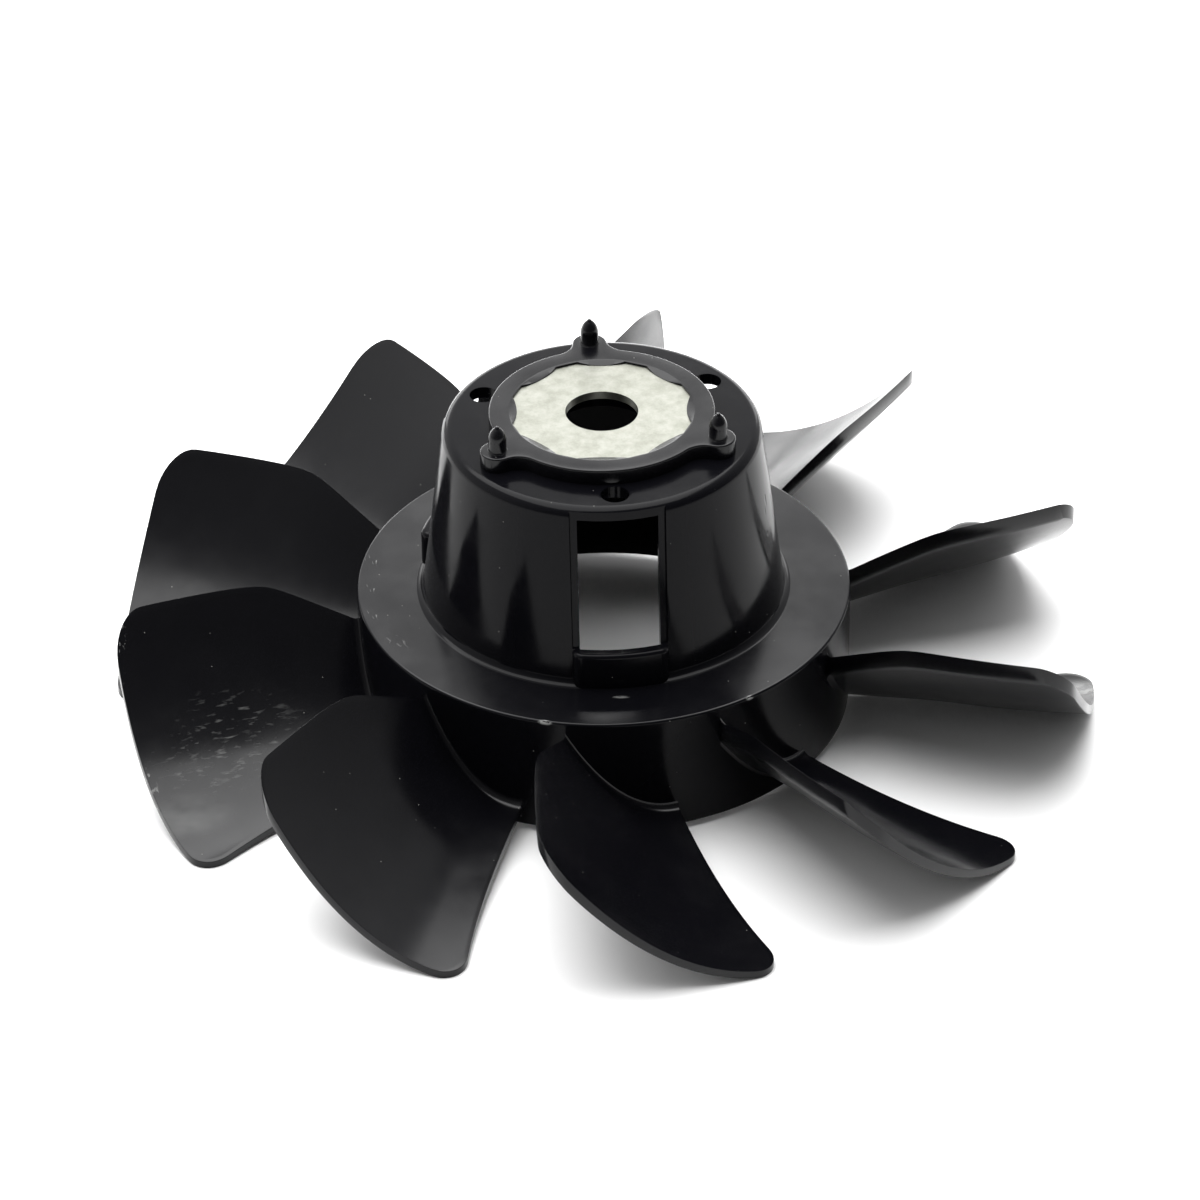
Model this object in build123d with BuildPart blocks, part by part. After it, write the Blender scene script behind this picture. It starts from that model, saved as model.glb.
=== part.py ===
"""Ten-bladed axial fan impeller moulded round a pressed steel hub insert.

The impeller is one moulding: a short open drum with a flat flange on top, a tapered cone that
carries the hub face, a collar with three locating pins, and ten twisted scoop blades. It stands
on the lower tips of its blades. The origin is on the shaft axis in that standing plane, and +Z
points along the shaft to the hub face. Lengths are in millimetres and angles in degrees.
"""

import os
from math import atan2, cos, degrees, hypot, radians, sin, tan

from build123d import *

# Blades: seen from above, each starts high at its leading edge and falls anticlockwise.
blade_count = 10
tip_diameter = 177.8
leading_root_angle = -14.4
leading_knee_angle = -16.7
leading_tip_angle = -12.4
trailing_root_angle = 11.3
trailing_tip_angle = 14.8
trailing_edge_bow = 0.6
knee_reach = 16.3
knee_softness = 3.0
knee_round = 35.0
tip_corner_radius = 5.5
leading_root_height = -3.1
leading_knee_height = 5.4
leading_tip_height = 5.8
trailing_root_height = -18.9
trailing_tip_height = -22.9
trailing_droop = 0.8
root_camber = 4.6
tip_camber = 7.3
leading_thickness = 1.8
trailing_thickness = 1.4

# Drum and flange
drum_diameter = 88.8
drum_height = 23.0
drum_wall = 1.5
flange_thickness = 2.0
flange_edge_chamfer = 0.4

# Cone and hub face
cone_foot_diameter = 65.0
cone_top_diameter = 56.4
cone_height = 33.9
cone_wall = 2.2
cone_foot_chamfer = 1.0
cone_edge_chamfer = 1.2
web_thickness = 2.2

# Three windows in the cone, each with a sill on the flange and a face hole above it
window_count = 3
window_start_angle = 30.0
window_width = 14.2
sill_height = 7.0
sill_gap = 0.9
sill_thickness = 2.0
sill_side = 1.35
sill_corner_radius = 1.8
sill_edge_chamfer = 0.6
recess_depth = 0.4
recess_top_margin = 0.6
face_hole_diameter = 5.0
face_hole_circle = 46.3

# Collar, ears and locating pins
collar_diameter = 40.0
collar_height = 2.9
collar_edge_chamfer = 0.3
pin_count = 3
pin_start_angle = 90.0
pin_circle = 44.8
pin_diameter = 3.2
pin_height = 4.9
pin_straight = 2.2
pin_shoulder_diameter = 2.5
pin_shoulder_height = 3.6
pin_nib_diameter = 0.9
pin_nib_height = 0.35
ear_margin = 1.5
ear_blend = 4.0

# Steel insert and the lip that holds it
bore_diameter = 12.9
insert_diameter = 36.0
insert_thickness = 1.5
insert_key_width = 3.0
insert_key_depth = 1.5
lobe_count = 8
lobe_start_angle = -5.3
lobe_half_angle = 15.5
lip_corner_diameter = 32.7
lobe_crown_diameter = 30.0
lip_depth = 0.45
lip_feather = 0.1
web_hole_diameter = 18.0

# Radii and levels that follow from the sizes above; levels count from the flange face.
tip_radius = tip_diameter / 2
drum_radius = drum_diameter / 2
drum_bore_radius = drum_radius - drum_wall
knee_radius = drum_radius + knee_reach
root_seat_radius = drum_radius - drum_wall / 2
cone_foot_radius = cone_foot_diameter / 2
cone_top_radius = cone_top_diameter / 2
cone_taper = (cone_foot_radius - cone_top_radius) / cone_height
sill_inner_radius = cone_foot_radius - sill_gap
sill_outer_radius = sill_inner_radius + sill_thickness
sill_width = window_width + 2 * sill_side
pin_radius = pin_diameter / 2
pin_nib_radius = pin_nib_diameter / 2
ear_radius = pin_radius + ear_margin
collar_level = cone_height + collar_height
insert_top_level = collar_level - lip_depth
insert_level = insert_top_level - insert_thickness


def polar(radius, angle):
    """Plan point at a radius and an angle."""
    return (radius * cos(radians(angle)), radius * sin(radians(angle)))


def along_span(distance, root, tip):
    """Straight-line value between the drum and the blade tip."""
    return root + (tip - root) * (distance - drum_radius) / (tip_radius - drum_radius)


def bow_along_span(distance, height):
    """Bow that is nothing at the drum and at the tip and full between them."""
    share = along_span(distance, 0, 1)
    return 4 * height * share * (1 - share)


def along_knee(distance, root, knee, tip):
    """Value along the leading edge: two straight runs that meet in a soft bend at the knee."""
    inner_slope = (knee - root) / knee_reach
    outer_slope = (tip - knee) / (tip_radius - knee_radius)
    past_knee = distance - knee_radius
    bend = hypot(past_knee, knee_softness)
    return knee + (inner_slope + outer_slope) / 2 * past_knee + (outer_slope - inner_slope) / 2 * bend


def leading_angle(distance):
    """Plan angle of the leading edge at a distance from the axis."""
    return along_knee(distance, leading_root_angle, leading_knee_angle, leading_tip_angle)


def trailing_angle(distance):
    """Plan angle of the trailing edge at a distance from the axis."""
    straight = along_span(distance, trailing_root_angle, trailing_tip_angle)
    return straight - bow_along_span(distance, trailing_edge_bow)


def blade_heights(x, y):
    """Heights of the blade's upper and lower skins above the flange face at a plan point."""
    distance = hypot(x, y)
    start = leading_angle(distance)
    sweep = trailing_angle(distance) - start
    share = (degrees(atan2(y, x)) - start) / sweep
    high = along_knee(distance, leading_root_height, leading_knee_height, leading_tip_height)
    low = along_span(distance, trailing_root_height, trailing_tip_height)
    fall = low - bow_along_span(distance, trailing_droop) - high
    camber = along_span(distance, root_camber, tip_camber)
    upper = high + fall * share - 4 * camber * share * (1 - share)
    slope = (fall - 4 * camber * (1 - 2 * share)) / (distance * radians(sweep))
    thickness = leading_thickness + (trailing_thickness - leading_thickness) * share
    return upper, upper - thickness * hypot(1, slope)


# One blade, with its datum line along +X and the flange face at Z = 0. Its skins are lofted
# through sections across the datum line, and its outline is cut straight down the mould's draw.
section_count = 7
points_across = 9
skin_margin = 3.0
section_start = root_seat_radius * cos(radians(leading_root_angle)) - skin_margin
section_step = (tip_radius + skin_margin - section_start) / (section_count - 1)

with BuildPart() as blade:
    for section in range(section_count):
        station = section_start + section * section_step
        leading_y = station * tan(radians(leading_knee_angle))
        trailing_y = station * tan(radians(trailing_tip_angle))
        width = trailing_y - leading_y + 2 * skin_margin
        across = [
            leading_y - skin_margin + width * point / (points_across - 1)
            for point in range(points_across)
        ]
        with BuildSketch(Plane.YZ.offset(station)):
            with BuildLine():
                upper_skin = Spline(*[(y, blade_heights(station, y)[0]) for y in across])
                lower_skin = Spline(*[(y, blade_heights(station, y)[1]) for y in across])
                Line(upper_skin @ 0, lower_skin @ 0)
                Line(upper_skin @ 1, lower_skin @ 1)
            make_face()
    loft()
    with BuildSketch():
        with BuildLine():
            leading_edge = FilletPolyline(
                polar(root_seat_radius, leading_root_angle),
                polar(drum_radius, leading_root_angle),
                polar(knee_radius, leading_knee_angle),
                polar(tip_radius, leading_tip_angle),
                radius=(0, knee_round),
            )
            tip_arc = ThreePointArc(
                leading_edge @ 1, (tip_radius, 0), polar(tip_radius, trailing_tip_angle)
            )
            middle_radius = (drum_radius + tip_radius) / 2
            trailing_edge = ThreePointArc(
                tip_arc @ 1,
                polar(middle_radius, trailing_angle(middle_radius)),
                polar(drum_radius, trailing_root_angle),
            )
            seat_line = Line(trailing_edge @ 1, polar(root_seat_radius, trailing_root_angle))
            ThreePointArc(seat_line @ 1, (root_seat_radius, 0), leading_edge @ 0)
        make_face()
        tip_corners = vertices().group_by(lambda corner: hypot(corner.X, corner.Y))[-1]
        fillet(tip_corners, tip_corner_radius)
    extrude(amount=tip_radius, both=True, mode=Mode.INTERSECT)

# The lowest points of the blades touch the standing plane, which sets the flange's height.
flange_z = -blade.part.bounding_box().min.Z
rim_z = flange_z - drum_height
web_z = flange_z + cone_height - web_thickness
face_z = flange_z + cone_height
collar_z = flange_z + collar_level
insert_z = flange_z + insert_level
insert_top_z = flange_z + insert_top_level

# The steel insert: a pressed disc with a plain bore, keyed into the plastic by notches in its rim.
with BuildPart() as steel_insert:
    with BuildSketch(Plane.XY.offset(insert_z)):
        Circle(insert_diameter / 2)
        with PolarLocations(insert_diameter / 2, lobe_count, start_angle=lobe_start_angle):
            Rectangle(2 * insert_key_depth, insert_key_width, mode=Mode.SUBTRACT)
        Circle(bore_diameter / 2, mode=Mode.SUBTRACT)
    extrude(amount=insert_thickness)

# One locating pin: a straight stem under a tapered nose with a small nib.
with BuildPart() as pin:
    with BuildSketch(Plane.XZ):
        with BuildLine():
            Polyline(
                (0, -collar_height),
                (pin_radius, -collar_height),
                (pin_radius, pin_straight),
                (pin_shoulder_diameter / 2, pin_shoulder_height),
                (pin_nib_radius, pin_height - pin_nib_height),
                (pin_nib_radius, pin_height),
                (0, pin_height),
                close=True,
            )
        make_face()
    revolve(axis=Axis.Z)

# The core that forms the three windows: inside the sills low down, through the wall above them.
with BuildPart() as window_core:
    with BuildSketch(Plane.XZ):
        with BuildLine():
            Polyline(
                (web_hole_diameter / 2, rim_z),
                (sill_inner_radius, rim_z),
                (sill_inner_radius, flange_z + sill_height),
                (drum_radius, flange_z + sill_height),
                (drum_radius, web_z),
                (web_hole_diameter / 2, web_z),
                close=True,
            )
        make_face()
    revolve(axis=Axis.Z)
    with BuildSketch():
        with PolarLocations(drum_radius / 2, window_count, start_angle=window_start_angle):
            Rectangle(drum_radius, window_width)
    extrude(amount=face_z, mode=Mode.INTERSECT)

# The shallow recess round each window, cut to an even depth in the cone's taper.
recess_top_z = face_z - recess_top_margin
with BuildPart() as window_recess:
    with BuildSketch(Plane.XZ):
        with BuildLine():
            Polyline(
                (cone_foot_radius - recess_depth - cone_taper * sill_height, flange_z + sill_height),
                (drum_radius, flange_z + sill_height),
                (drum_radius, recess_top_z),
                (cone_top_radius - recess_depth, recess_top_z),
                close=True,
            )
        make_face()
    revolve(axis=Axis.Z)
    with BuildSketch():
        with PolarLocations(drum_radius / 2, window_count, start_angle=window_start_angle):
            Rectangle(drum_radius, sill_width)
    extrude(amount=face_z, mode=Mode.INTERSECT)

with BuildPart() as impeller:
    # Drum, flange, cone and hub web: one thin wall turned about the axis
    with BuildSketch(Plane.XZ):
        with BuildLine():
            Polyline(
                (drum_radius, rim_z),
                (drum_radius, flange_z - flange_edge_chamfer),
                (drum_radius - flange_edge_chamfer, flange_z),
                (cone_foot_radius + cone_foot_chamfer, flange_z),
                (cone_foot_radius - cone_taper * cone_foot_chamfer, flange_z + cone_foot_chamfer),
                (cone_top_radius + cone_taper * cone_edge_chamfer, face_z - cone_edge_chamfer),
                (cone_top_radius - cone_edge_chamfer, face_z),
                (web_hole_diameter / 2, face_z),
                (web_hole_diameter / 2, web_z),
                (cone_top_radius - cone_wall, web_z),
                (cone_foot_radius - cone_wall, flange_z - flange_thickness),
                (drum_bore_radius, flange_z - flange_thickness),
                (drum_bore_radius, rim_z),
                close=True,
            )
        make_face()
    revolve(axis=Axis.Z)

    # Sills: curved blocks on the flange that close the foot of each window
    with BuildSketch(Plane.XY.offset(flange_z - flange_thickness)):
        with PolarLocations(drum_radius / 2, window_count, start_angle=window_start_angle):
            Rectangle(drum_radius, sill_width)
        Circle(sill_outer_radius, mode=Mode.INTERSECT)
        sill_corners = vertices().group_by(lambda corner: hypot(corner.X, corner.Y))[-1]
        fillet(sill_corners, sill_corner_radius)
        Circle(cone_foot_radius - cone_wall, mode=Mode.SUBTRACT)
    extrude(amount=flange_thickness + sill_height)
    sill_tops = faces(Select.LAST).sort_by(Axis.Z)[-window_count:]
    sill_edges = sill_tops.edges().filter_by(
        lambda edge: hypot(edge.center().X, edge.center().Y) > cone_foot_radius
    )
    chamfer(sill_edges, sill_edge_chamfer)

    # Windows, their recesses and the face holes above them
    add(window_recess.part, mode=Mode.SUBTRACT)
    add(window_core.part, mode=Mode.SUBTRACT)
    with BuildSketch(Plane.XY.offset(web_z)):
        with PolarLocations(face_hole_circle / 2, window_count, start_angle=window_start_angle):
            Circle(face_hole_diameter / 2)
    extrude(amount=web_thickness, mode=Mode.SUBTRACT)

    # Collar with three ears, then its pins
    with BuildSketch(Plane.XY.offset(face_z)):
        Circle(collar_diameter / 2)
        with PolarLocations(pin_circle / 2, pin_count, start_angle=pin_start_angle):
            Circle(ear_radius)
        fillet(vertices(), ear_blend)
    extrude(amount=collar_height)
    chamfer(faces().sort_by(Axis.Z)[-1].outer_wire().edges(), collar_edge_chamfer)
    with Locations((0, 0, collar_z)):
        with PolarLocations(pin_circle / 2, pin_count, start_angle=pin_start_angle):
            add(pin.part)

    # Seat of the insert, the lobed lip over its edge and the clearance hole below it
    with BuildSketch(Plane.XY.offset(insert_z)):
        Circle(insert_diameter / 2)
        with PolarLocations(insert_diameter / 2, lobe_count, start_angle=lobe_start_angle):
            Rectangle(2 * insert_key_depth, insert_key_width, mode=Mode.SUBTRACT)
    extrude(amount=insert_thickness, mode=Mode.SUBTRACT)
    with BuildSketch(Plane.XY.offset(insert_top_z)):
        with BuildLine():
            for lobe in range(lobe_count):
                middle = lobe_start_angle + lobe * 360 / lobe_count
                next_start = middle + 360 / lobe_count - lobe_half_angle
                crown = ThreePointArc(
                    polar(lip_corner_diameter / 2, middle - lobe_half_angle),
                    polar(lobe_crown_diameter / 2, middle),
                    polar(lip_corner_diameter / 2, middle + lobe_half_angle),
                )
                Line(crown @ 1, polar(lip_corner_diameter / 2, next_start))
        make_face()
    extrude(amount=lip_depth, mode=Mode.SUBTRACT)
    with BuildSketch(Plane.XZ):
        with BuildLine():
            Polyline(
                (0, insert_top_z + lip_feather),
                (lobe_crown_diameter / 2, insert_top_z + lip_feather),
                (lip_corner_diameter / 2, collar_z),
                (0, collar_z),
                close=True,
            )
        make_face()
    revolve(axis=Axis.Z, mode=Mode.SUBTRACT)
    with BuildSketch(Plane.XY.offset(web_z)):
        Circle(web_hole_diameter / 2)
    extrude(amount=insert_z - web_z, mode=Mode.SUBTRACT)

    # Blades
    with Locations((0, 0, flange_z)):
        with PolarLocations(0, blade_count, start_angle=pin_start_angle):
            add(blade.part)

impeller.part.label = "impeller"
steel_insert.part.label = "steel_insert"

os.makedirs("parts", exist_ok=True)
export_step(impeller.part, "parts/impeller.step")
export_step(steel_insert.part, "parts/steel_insert.step")
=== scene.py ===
"""Dressed scene of an axial fan impeller moulded in black nylon round a steel hub insert.

The moulding is rebuilt at full detail from its sizes in millimetres and stands for the CAD node
"impeller". The CAD steel insert stays as it is and gets its finish. Heights inside the classes
count from the flange face, and the flange face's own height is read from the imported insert.
"""

import logging
from dataclasses import dataclass
from enum import Enum
from functools import partial
from math import acos, atan2, cos, degrees, hypot, pi, radians, sin, sqrt, tan
from typing import Callable

import bmesh
import bpy
from bpy.types import ID, Material, Node, NodeSocket, NodeTree, Object
from mathutils import Matrix, Vector


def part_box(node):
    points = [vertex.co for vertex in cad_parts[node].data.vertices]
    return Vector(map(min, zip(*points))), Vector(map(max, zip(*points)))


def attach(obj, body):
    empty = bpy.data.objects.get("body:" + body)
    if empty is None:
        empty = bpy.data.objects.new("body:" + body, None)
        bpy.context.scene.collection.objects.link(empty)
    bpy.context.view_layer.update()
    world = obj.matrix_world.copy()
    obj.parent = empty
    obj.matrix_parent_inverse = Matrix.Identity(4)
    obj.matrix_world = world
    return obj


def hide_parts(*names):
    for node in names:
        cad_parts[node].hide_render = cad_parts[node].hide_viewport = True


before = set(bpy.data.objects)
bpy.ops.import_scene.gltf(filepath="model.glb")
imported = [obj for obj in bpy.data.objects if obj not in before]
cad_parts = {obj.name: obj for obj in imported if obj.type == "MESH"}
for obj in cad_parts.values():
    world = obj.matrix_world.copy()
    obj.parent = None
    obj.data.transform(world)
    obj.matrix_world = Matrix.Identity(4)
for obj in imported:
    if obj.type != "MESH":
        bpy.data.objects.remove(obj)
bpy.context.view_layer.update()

log = logging.getLogger("impeller")

MM = 0.001
INSERT_NODE = "steel_insert"
MOULDING_NODE = "impeller"

# Nearly all values of Blender's noise lie between these
NOISE_LOW = 0.3
NOISE_HIGH = 0.7

Pair = tuple[float, float]
Point = tuple[float, float]
Triple = tuple[float, float, float]
Place = tuple[float, float, float]
Adder = Callable[..., Node]


def linear_rgba(hex_colour: str) -> tuple[float, float, float, float]:
    """Turns an sRGB hex colour into linear RGBA.

    Args:
        hex_colour: Colour such as "#1a1b1c".

    Returns:
        The linear red, green, blue and an alpha of one.
    """
    channels = [int(hex_colour[at : at + 2], 16) / 255 for at in (1, 3, 5)]
    linear = [c / 12.92 if c <= 0.04045 else ((c + 0.055) / 1.055) ** 2.4 for c in channels]
    return (linear[0], linear[1], linear[2], 1.0)


def add_node(
    tree: NodeTree, kind: str, settings: dict | None = None, links: dict | None = None
) -> Node:
    """Adds a node with its settings and links.

    Args:
        tree: Shader or geometry tree.
        kind: Node type, such as "ShaderNodeMath".
        settings: Property names, or input names or numbers, with their values.
        links: Input names or numbers with the sockets that feed them. A node gives its first.

    Returns:
        The new node.
    """
    node = tree.nodes.new(kind)
    for name, value in (settings or {}).items():
        if isinstance(name, int) or name in node.inputs:
            node.inputs[name].default_value = value
        else:
            setattr(node, name, value)
    for name, source in (links or {}).items():
        socket = source.outputs[0] if isinstance(source, Node) else source
        tree.links.new(socket, node.inputs[name])
    return node


def linked(name: str, data: ID) -> Object:
    """Makes an object from its data and links it to the scene.

    Args:
        name: Name of the object.
        data: Its mesh, light or camera.

    Returns:
        The object.
    """
    made = bpy.data.objects.new(name, data)
    bpy.context.scene.collection.objects.link(made)
    return made


def polar(radius: float, angle: float) -> Point:
    """Plan point at a radius and an angle in degrees."""
    return (radius * cos(radians(angle)), radius * sin(radians(angle)))


def arc(centre: Point, radius: float, start: float, end: float, steps: int) -> list[Point]:
    """Points along an arc.

    Args:
        centre: Centre of the arc.
        radius: Its radius.
        start: First angle in degrees.
        end: Last angle in degrees.
        steps: Number of chords.

    Returns:
        The points, both ends included.
    """
    turns = [radians(start + (end - start) * step / steps) for step in range(steps + 1)]
    return [(centre[0] + radius * cos(turn), centre[1] + radius * sin(turn)) for turn in turns]


def circle(centre: Point, radius: float, steps: int) -> list[Point]:
    """Points round a full circle, each of them once."""
    return arc(centre, radius, 0, 360 - 360 / steps, steps - 1)


def rounding(radius: float, steps: int) -> list[Pair]:
    """Insets and drops of a rounded edge's points, from its foot to its top."""
    turns = [pi / 2 * step / steps for step in range(steps + 1)]
    return [(radius * (1 - cos(turn)), radius * (1 - sin(turn))) for turn in turns]


def rounded_line(corners: list[Triple], steps: int = 8) -> list[Point]:
    """Rounds the corners of a closed outline.

    Args:
        corners: Points as (x, y, corner radius).
        steps: Chords in each rounded corner.

    Returns:
        The outline's points.
    """
    points: list[Point] = []
    for at, (x, y, radius) in enumerate(corners):
        if radius == 0:
            points.append((x, y))
            continue
        corner = Vector((x, y))
        back = (Vector(corners[at - 1][:2]) - corner).normalized()
        ahead = (Vector(corners[(at + 1) % len(corners)][:2]) - corner).normalized()
        half = acos(max(-1.0, min(1.0, back.dot(ahead)))) / 2
        centre = corner + (back + ahead).normalized() * radius / sin(half)
        first = corner + back * radius / tan(half) - centre
        last = corner + ahead * radius / tan(half) - centre
        start = atan2(first.y, first.x)
        turn = (atan2(last.y, last.x) - start + pi) % (2 * pi) - pi
        points += arc(tuple(centre), radius, degrees(start), degrees(start + turn), steps)
    return points


class Maker:
    """Turns lists of points into Blender meshes and finishes them."""

    MERGE_DISTANCE = 0.0005 * MM
    BEVEL_ANGLE = 40.0
    SHARP_ANGLE = 32.0

    @staticmethod
    def new_object(name: str, points: list[Place], faces: list[list[int]]) -> Object:
        """Makes an object at the origin from points in millimetres.

        Args:
            name: Name of the object and of its mesh.
            points: Corner points in millimetres.
            faces: Corner numbers of each face.

        Returns:
            The linked object, with its normals facing outwards.
        """
        mesh = bpy.data.meshes.new(name)
        mesh.from_pydata([(x * MM, y * MM, z * MM) for x, y, z in points], [], faces)
        work = bmesh.new()
        work.from_mesh(mesh)
        bmesh.ops.remove_doubles(work, verts=work.verts, dist=Maker.MERGE_DISTANCE)
        bmesh.ops.dissolve_degenerate(work, edges=work.edges, dist=Maker.MERGE_DISTANCE)
        bmesh.ops.recalc_face_normals(work, faces=work.faces)
        work.to_mesh(mesh)
        work.free()
        return linked(name, mesh)

    @classmethod
    def lofted(cls, name: str, rings: list[list[Place]], closed: bool) -> Object:
        """Joins outlines with the same number of points into one body.

        Args:
            name: Name of the object.
            rings: The outlines' points, in order.
            closed: Whether the last outline joins the first. Otherwise both ends are capped.

        Returns:
            The closed object.
        """
        around = len(rings[0])
        end = len(rings) * around
        faces = [] if closed else [list(range(around)), list(range(end - around, end))]
        for here in range(0, end if closed else end - around, around):
            there = (here + around) % end
            for at in range(around):
                ahead = (at + 1) % around
                faces.append([here + at, here + ahead, there + ahead, there + at])
        return cls.new_object(name, [point for ring in rings for point in ring], faces)

    @classmethod
    def turned(cls, name: str, section: Callable[[float], list[Point]], steps: int) -> Object:
        """Sweeps a closed section round the shaft axis.

        Args:
            name: Name of the object.
            section: Gives the closed section's (radius, height) points at an angle in degrees.
            steps: Number of sections round the axis.

        Returns:
            The closed ring-shaped object.
        """
        rings = []
        for angle in [360 * step / steps for step in range(steps)]:
            rings.append([(*polar(radius, angle), height) for radius, height in section(angle)])
        return cls.lofted(name, rings, True)

    @classmethod
    def stacked(cls, name: str, layers: list[tuple[float, list[Point]]]) -> Object:
        """Joins outlines at rising heights into a closed block.

        Args:
            name: Name of the object.
            layers: Height and outline of each layer, all with the same number of points.

        Returns:
            The closed object.
        """
        rings = [[(x, y, height) for x, y in outline] for height, outline in layers]
        return cls.lofted(name, rings, False)

    @staticmethod
    def bake(piece: Object) -> None:
        """Replaces a piece's mesh by its evaluated mesh and removes its modifiers.

        Args:
            piece: The object.
        """
        bpy.context.view_layer.update()
        evaluated = piece.evaluated_get(bpy.context.evaluated_depsgraph_get())
        mesh = bpy.data.meshes.new_from_object(evaluated)
        piece.modifiers.clear()
        piece.data = mesh

    @staticmethod
    def shade(piece: Object, sharp_angle: float = SHARP_ANGLE) -> None:
        """Shades a piece smooth, except across its sharp edges.

        Args:
            piece: The object.
            sharp_angle: Angle between two faces, in degrees, from which their edge is sharp.
        """
        limit = radians(sharp_angle)
        work = bmesh.new()
        work.from_mesh(piece.data)
        for face in work.faces:
            face.smooth = True
        for edge in work.edges:
            edge.smooth = len(edge.link_faces) == 2 and edge.calc_face_angle() < limit
        work.to_mesh(piece.data)
        work.free()

    @classmethod
    def soften(cls, piece: Object, width: float, segments: int) -> None:
        """Rounds a piece's sharp edges.

        Args:
            piece: The object.
            width: Width of the rounding in millimetres.
            segments: Faces across it.
        """
        bevel = piece.modifiers.new("edge_round", "BEVEL")
        bevel.width = width * MM
        bevel.segments = segments
        bevel.limit_method = "ANGLE"
        bevel.angle_limit = radians(cls.BEVEL_ANGLE)
        bevel.use_clamp_overlap = True
        cls.bake(piece)


class RingTree:
    """Geometry Nodes tree that sets copies of a shape evenly round the shaft axis."""

    def __init__(self) -> None:
        """Builds the tree with its named inputs."""
        tree = bpy.data.node_groups.new("ring_of_copies", "GeometryNodeTree")
        add = partial(add_node, tree)
        inputs = {
            "Geometry": "NodeSocketGeometry",
            "Count": "NodeSocketInt",
            "Start Angle": "NodeSocketFloat",
            "Material": "NodeSocketMaterial",
        }
        for name, kind in inputs.items():
            tree.interface.new_socket(name, in_out="INPUT", socket_type=kind)
        tree.interface.new_socket("Geometry", in_out="OUTPUT", socket_type="NodeSocketGeometry")
        given = add("NodeGroupInput")
        points = add("GeometryNodePoints", links={"Count": given.outputs["Count"]})
        index = add("GeometryNodeInputIndex")
        step = add(
            "ShaderNodeMath", {"operation": "DIVIDE", 0: 2 * pi}, {1: given.outputs["Count"]}
        )
        turn = add(
            "ShaderNodeMath",
            {"operation": "MULTIPLY_ADD"},
            {0: index, 1: step, 2: given.outputs["Start Angle"]},
        )
        heading = add("ShaderNodeCombineXYZ", links={"Z": turn})
        copies = add(
            "GeometryNodeInstanceOnPoints",
            links={"Points": points, "Instance": given.outputs["Geometry"], "Rotation": heading},
        )
        real = add("GeometryNodeRealizeInstances", links={"Geometry": copies})
        dressed = add(
            "GeometryNodeSetMaterial",
            links={"Geometry": real, "Material": given.outputs["Material"]},
        )
        add("NodeGroupOutput", links={"Geometry": dressed})
        self.tree = tree

    def repeat(self, piece: Object, count: int, start: float, material: Material) -> None:
        """Repeats a piece round the axis and makes the result a plain mesh.

        Args:
            piece: The object to repeat, modelled about the +X direction.
            count: Number of copies.
            start: Angle of the first copy in degrees.
            material: Finish of every copy.
        """
        modifier = piece.modifiers.new("ring", "NODES")
        modifier.node_group = self.tree
        values = {"Count": count, "Start Angle": radians(start), "Material": material}
        for item in self.tree.interface.items_tree:
            if item.in_out == "INPUT" and item.name in values:
                modifier[item.identifier] = values[item.name]
        Maker.bake(piece)


class MarkKind(Enum):
    """What a mark does: pale scuffs and a pale painted sheen in place of a highlight, or dents
    without a change of colour.
    """

    SCUFFED_AND_SHEEN = "scuffed_and_sheen"
    DENTED = "dented"


@dataclass(frozen=True)
class Mark:
    """A marked place (scuffs, dents, or a pale painted sheen in place of a highlight): an
    ellipsoid in which the surface is marked in short broken dashes.

    The reach holds the ellipsoid's half-lengths along its own axes and the dash a dash's length,
    width and depth, all in millimetres. The turn is in degrees. Heights count from the floor.
    A lower cut closes the dashes up and a wider edge blurs them.
    """

    centre: Place
    reach: Triple
    turn: Triple
    dash: Triple
    cut: float
    edge: float
    strength: float
    mark_kind: MarkKind = MarkKind.SCUFFED_AND_SHEEN


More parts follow.
